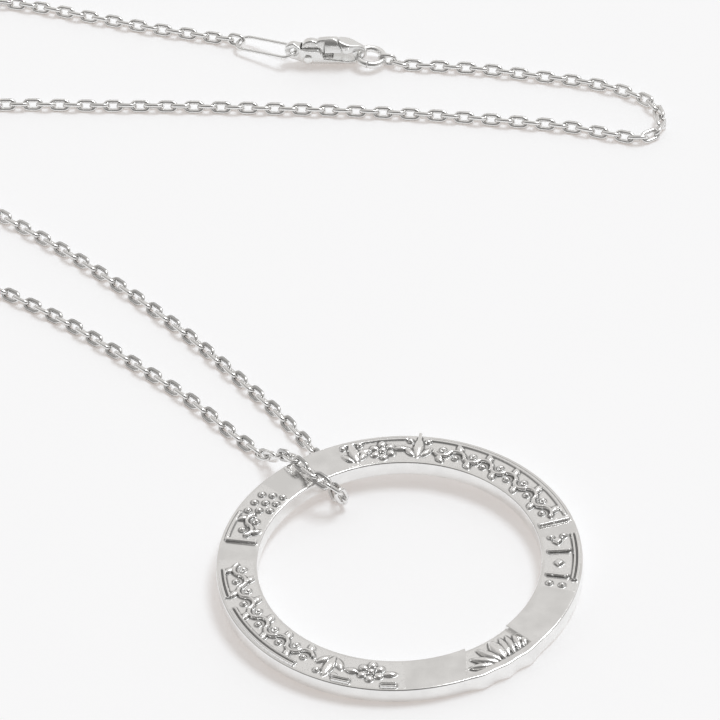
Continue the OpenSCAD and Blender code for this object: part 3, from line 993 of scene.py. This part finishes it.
def clasp_casting(node, detail, rounds):
    """A CAD node of the clasp in millimetres, its flat cheeks made oval and its edges rounded."""
    bm = bmesh.new()
    bm.from_mesh(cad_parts[node].data)
    bm.transform(Matrix.Scale(1 / MM, 4))
    bmesh.ops.remove_doubles(bm, verts=bm.verts, dist=0.001)
    bm = fused(bm, detail, 0)
    bm.transform(clasp_place().inverted())
    for vert in bm.verts:
        over = vert.co.z - CLASP_WIDEST
        rise = over / (CLASP_TOP - CLASP_WIDEST if over > 0 else CLASP_FOOT)
        vert.co.y *= (1 - min(rise ** 2, 0.9)) ** 0.4
    bm.transform(clasp_place())
    smoothed(bm, rounds)
    return bm


def rivet_head(bm, place):
    """Domed head of the clasp's rivet, standing along the place's Z."""
    section = [(RIVET_R, -0.3), (RIVET_R, 0.03)]
    section += [
        (RIVET_R * math.cos(a), 0.03 + RIVET_DOME * math.sin(a))
        for a in (math.radians(15 * k) for k in range(1, 6))
    ]
    section.append((0, 0.03 + RIVET_DOME))
    head = bmesh.new()
    verts = [head.verts.new((r, 0, z)) for r, z in section]
    edges = [head.edges.new(pair) for pair in zip(verts, verts[1:])]
    bmesh.ops.spin(
        head, geom=verts + edges, axis=(0, 0, 1), cent=(0, 0, 0), angle=math.tau, steps=32, use_merge=True
    )
    bmesh.ops.remove_doubles(head, verts=head.verts, dist=0.001)
    bmesh.ops.holes_fill(head, edges=[edge for edge in head.edges if edge.is_boundary])
    add_part(bm, head, place)


def make_rivet(metal):
    """Both heads of the clasp's rivet."""
    bm = bmesh.new()
    for side in (1, -1):
        seat = Matrix.Translation((RIVET_AT[0], side * RIVET_AT[1], RIVET_AT[2]))
        rivet_head(bm, seat @ turn(-90 * side, "X"))
    make_piece("clasp_rivet_heads", bm, metal, (), clasp_place())


def make_jump_ring(clasp, chain, metal):
    """Jump ring, held by the claw at one side and by the chain's first link at the other."""
    across, wire = mm(clasp.jump_d), mm(clasp.jump_wire)
    radius = (across - wire) / 2
    low = mm(chain.end_w) / 2
    tilt = math.degrees(math.asin((JUMP_HOLD[1] - low) / (2 * radius)))
    hold = Matrix.Translation((JUMP_HOLD[0], 0, JUMP_HOLD[1])) @ turn(JUMP_TURN - CLASP_TURN)
    place = clasp_place() @ hold @ turn(tilt, "Y") @ Matrix.Translation((radius, 0, 0))
    wire_piece("jump_ring", (across, across, wire), (40, 20), metal, place)


def make_long_link(clasp, metal):
    """Elongated link that lies in the clasp's eye."""
    length, width, wire = mm(clasp.long_l), mm(clasp.long_w), mm(clasp.long_wire)
    lean = turn(LONG_TURN - CLASP_TURN) @ turn(-LONG_RISE, "Y") @ turn(-LONG_LEAN, "X")
    back = Matrix.Translation(((wire - length) / 2, 0, 0))
    place = clasp_place() @ Matrix.Translation(LONG_SEAT) @ lean @ back
    wire_piece("long_link", (length, width, wire), (20, 14), metal, place)


class NECKLACE_OT_stage(bpy.types.Operator):
    """Makes the floor, the light and the camera"""

    bl_idname = "necklace.stage"
    bl_label = "Stage"

    def execute(self, context):
        scene = context.scene
        settings = scene.necklace_stage
        scene.view_settings.view_transform = "Standard"
        bm = bmesh.new()
        bmesh.ops.create_grid(bm, x_segments=8, y_segments=8, size=FLOOR_REACH)
        bmesh.ops.translate(bm, verts=bm.verts, vec=(0, 0, -FLOOR_GAP))
        mesh = bpy.data.meshes.new("studio_floor")
        bm.to_mesh(mesh)
        bm.free()
        mesh.materials.append(floor_paper(settings.floor, settings.glow))
        floor = bpy.data.objects.new("studio_floor", mesh)
        scene.collection.objects.link(floor)
        self.make_camera(scene)
        self.make_light(scene, settings)
        return {"FINISHED"}

    def make_camera(self, scene):
        """Sets the camera up."""
        data = bpy.data.cameras.new("camera")
        data.sensor_width = 36
        data.lens = CAMERA_LENS
        data.clip_start = 0.01
        data.clip_end = 20
        camera = bpy.data.objects.new("camera", data)
        scene.collection.objects.link(camera)
        tilt = math.radians(CAMERA_ELEVATION)
        away = Vector((0, -math.cos(tilt), math.sin(tilt))) * CAMERA_DISTANCE
        spot = (Vector(LOOK_AT) + away) * MM
        aim = turn(90 - CAMERA_ELEVATION, "X") @ turn(CAMERA_ROLL)
        camera.matrix_world = Matrix.Translation(spot) @ aim
        scene.camera = camera

    def make_light(self, scene, settings):
        """Sets the sun and the sky up."""
        sun = bpy.data.lights.new("window", "SUN")
        sun.energy = settings.sun
        sun.angle = math.radians(SUN_SPAN)
        sun.color = SUN_COLOUR
        lamp = bpy.data.objects.new("window", sun)
        scene.collection.objects.link(lamp)
        lamp.rotation_euler = Vector(SUN_AT).to_track_quat("Z", "Y").to_euler()
        world = bpy.data.worlds.new("studio")
        scene.world = world
        world.use_nodes = True
        tree = world.node_tree
        background = tree.nodes["Background"]
        background.inputs["Strength"].default_value = settings.sky
        direction = tree.nodes.new("ShaderNodeTexCoord").outputs["Generated"]
        shade = None
        for centre, edge, core, depth in DARK_ZONES:
            nearness = vector_math(tree, "DOT_PRODUCT", direction, Vector(centre).normalized())["Value"]
            zone = map_range(tree, nearness, edge, core, 1.0, 1.0 - depth)
            shade = zone if shade is None else math_node(tree, "MULTIPLY", shade, zone)
        feed(tree, mixed_colour(tree, shade, SKY_DARK, SKY_CLEAR), background.inputs["Color"])


class NECKLACE_OT_ring(bpy.types.Operator):
    """Makes the pendant ring: its cast fields and its polished panels"""

    bl_idname = "necklace.ring"
    bl_label = "Pendant ring"

    def execute(self, context):
        ring = context.scene.necklace_ring
        cast = cast_silver(ring.metal)
        place = ring_place()
        bm = bmesh.new()
        ring_body(bm, ring)
        for a0, a1 in FIELDS.values():
            back_studs(bm, a0, a1)
        metal = polished_ring_silver(ring.metal)
        make_piece("ring_band", bm, metal, ("pendant_ring",), place)
        for name, (a0, a1) in FIELDS.items():
            bm = bmesh.new()
            if name == "lotus":
                floor_slab(bm, a0 + 1, a1 - 0.6, RING_H - LOTUS_DEPTH)
            else:
                floor_slab(bm, a0, a1, RING_H)
            relief(bm, ring, name)
            bm = fused(bm, mm(ring.cast_detail), rounds=2)
            piece = make_piece(
                f"ring_relief_{name}", bm, cast, ("pendant_ring",), place, sharp=180
            )
            mark_hollows(piece, reach=3)
        return {"FINISHED"}


class NECKLACE_OT_chain(bpy.types.Operator):
    """Makes the chain's links and the two wider links at its ends"""

    bl_idname = "necklace.chain"
    bl_label = "Chain"

    def execute(self, context):
        chain = context.scene.necklace_chain
        # The chain's painted shade darkens its links towards 0.6 of the metal's tone.
        metal = wire_silver("Chain silver", chain.metal, 0.2, painted_shade=0.6)
        bm = bmesh.new()
        painted_shade = chain_links(bm, chain)
        piece = make_piece("chain_links", bm, metal, ("chain_inner", "chain_outer"), sharp=180)
        store(piece, "painted_shade", painted_shade)
        width, wire = mm(chain.end_w), mm(chain.wire)
        for node, seat in (("ring_link", RING_LINK), ("end_link", END_LINK)):
            height = wire / 2 + (width - wire) / 2 * math.sin(math.radians(seat["lean"])) + 0.01
            place = Matrix.Translation((*seat["at"], height)) @ turn(seat["turn"]) @ turn(seat["lean"], "X")
            wire_piece(node, (mm(chain.end_l), width, wire), (16, 16), metal, place)
        return {"FINISHED"}


class NECKLACE_OT_clasp(bpy.types.Operator):
    """Makes the clasp's body and lever, its jump ring and the elongated link"""

    bl_idname = "necklace.clasp"
    bl_label = "Clasp"

    def execute(self, context):
        clasp = context.scene.necklace_clasp
        # The clasp's upright sides get painted shade, darkening them towards 0.94 of its tone.
        cast = wire_silver("Clasp silver", clasp.metal, 0.28, painted_shade=0.94)
        metal = wire_silver("Jump ring silver", scaled(clasp.metal, 1.05), 0.28)
        for node, body in (("clasp_body", NECKLACE), ("clasp_lever", LEVER)):
            bm = clasp_casting(node, mm(clasp.cast_detail), rounds=26)
            piece = make_piece(f"{node}_metal", bm, cast, (node,), body=body, sharp=180)
            paint_side_shade(piece)
        make_rivet(metal)
        make_jump_ring(clasp, context.scene.necklace_chain, metal)
        make_long_link(clasp, metal)
        return {"FINISHED"}


class NECKLACE_PT_panel(bpy.types.Panel):
    """Lists the steps that make the necklace"""

    bl_label = "Necklace"
    bl_idname = "NECKLACE_PT_panel"
    bl_space_type = "VIEW_3D"
    bl_region_type = "UI"
    bl_category = "Necklace"

    def draw(self, context):
        for step in STEPS:
            self.layout.operator(step.bl_idname)


SETTINGS = {
    "necklace_ring": RingSettings,
    "necklace_chain": ChainSettings,
    "necklace_clasp": ClaspSettings,
    "necklace_stage": StageSettings,
}
STEPS = (NECKLACE_OT_stage, NECKLACE_OT_ring, NECKLACE_OT_chain, NECKLACE_OT_clasp)


def register():
    for cls in (*SETTINGS.values(), *STEPS, NECKLACE_PT_panel):
        bpy.utils.register_class(cls)
    for name, cls in SETTINGS.items():
        setattr(bpy.types.Scene, name, PointerProperty(type=cls))


def unregister():
    for name in SETTINGS:
        delattr(bpy.types.Scene, name)
    for cls in reversed((*SETTINGS.values(), *STEPS, NECKLACE_PT_panel)):
        bpy.utils.unregister_class(cls)


def main():
    """Makes every piece."""
    register()
    bpy.ops.necklace.stage()
    bpy.ops.necklace.ring()
    bpy.ops.necklace.chain()
    bpy.ops.necklace.clasp()


if __name__ == "__main__":
    main()
